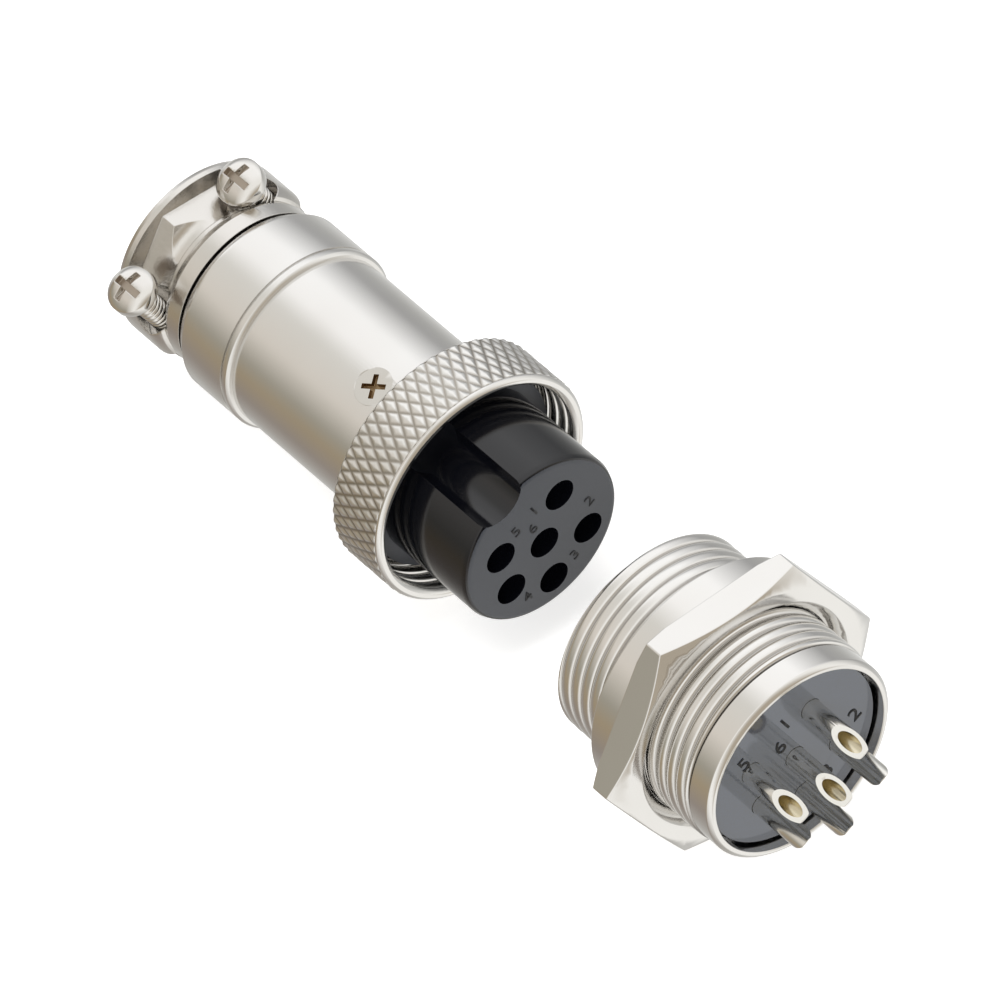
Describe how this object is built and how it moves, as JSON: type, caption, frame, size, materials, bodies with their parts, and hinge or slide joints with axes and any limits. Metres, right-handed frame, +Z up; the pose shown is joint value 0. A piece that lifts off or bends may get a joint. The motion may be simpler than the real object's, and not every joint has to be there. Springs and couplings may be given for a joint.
{
  "type": "circular multi-pin connector pair",
  "caption": "Circular metal connector: a cable plug with a knurled coupling nut, keyed insert and cable clamp, and its threaded panel socket with a hexagon nut.",
  "frame": {"origin": "centre of the socket flange's panel face, on the common axis", "axes": "+X along the common axis, from the plug to the socket's solder cups; +Z up, with a flat of the hexagon nut down"},
  "size_m": [0.0689, 0.023, 0.0198],
  "materials": {
    "nickel_satin": "satin nickel plate on brass",
    "nickel_bright": "bright nickel plate",
    "nickel_cast": "nickel plate on a zinc casting",
    "screw_steel": "nickel-plated steel",
    "black_moulding": "black thermoset moulding, glossy sides, dull face",
    "slate_moulding": "dark grey moulding",
    "contact_brass": "plated brass",
    "pin_silver": "silver-plated brass"
  },
  "bodies": {
    "plug": {"shell": "nickel_satin", "plug_insert": "black_moulding", "socket_contact_1": "contact_brass", "socket_contact_2": "contact_brass", "socket_contact_3": "contact_brass", "socket_contact_4": "contact_brass", "socket_contact_5": "contact_brass", "socket_contact_6": "contact_brass", "retaining_screw": "screw_steel", "tail_body": "nickel_cast"},
    "coupling_nut": {"coupling_nut": "nickel_bright"},
    "clamp_saddle": {"clamp_saddle": "nickel_cast"},
    "clamp_screw_1": {"clamp_screw_1": "screw_steel"},
    "clamp_screw_2": {"clamp_screw_2": "screw_steel"},
    "socket": {"socket_shell": "nickel_bright", "socket_insulator": "slate_moulding", "pin_1": "pin_silver", "pin_2": "pin_silver", "pin_3": "pin_silver", "pin_4": "pin_silver", "pin_5": "pin_silver", "pin_6": "pin_silver"},
    "panel_nut": {"panel_nut": "nickel_bright"}
  },
  "joints": [
    {"name": "coupling_turn", "type": "hinge", "parent": "plug", "child": "coupling_nut", "pos_m": [-0.028, 0, 0], "axis": [1, 0, 0], "continuous": true},
    {"name": "socket_mate", "type": "slide", "parent": "plug", "child": "socket", "axis": [-1, 0, 0], "range_m": [0, 0.0201]},
    {"name": "clamp_screw_1_turn", "type": "hinge", "parent": "plug", "child": "clamp_screw_1", "pos_m": [-0.0534, 0.00465, 0.00232], "axis": [0, 0.4462, -0.8949], "range_deg": [0, 720]},
    {"name": "clamp_screw_2_turn", "type": "hinge", "parent": "plug", "child": "clamp_screw_2", "pos_m": [-0.0534, -0.00465, -0.00232], "axis": [0, 0.4462, -0.8949], "range_deg": [0, 720]},
    {"name": "saddle_close", "type": "slide", "parent": "plug", "child": "clamp_saddle", "axis": [0, -0.4462, 0.8949], "range_m": [0, 0.0008]},
    {"name": "panel_nut_off", "type": "slide", "parent": "socket", "child": "panel_nut", "axis": [1, 0, 0], "range_m": [0, 0.015]}
  ],
  "couplings": [
    {"joint": "clamp_screw_1_turn", "follows": "saddle_close", "rad_per_m": 15708},
    {"joint": "clamp_screw_2_turn", "follows": "saddle_close", "rad_per_m": 15708}
  ]
}
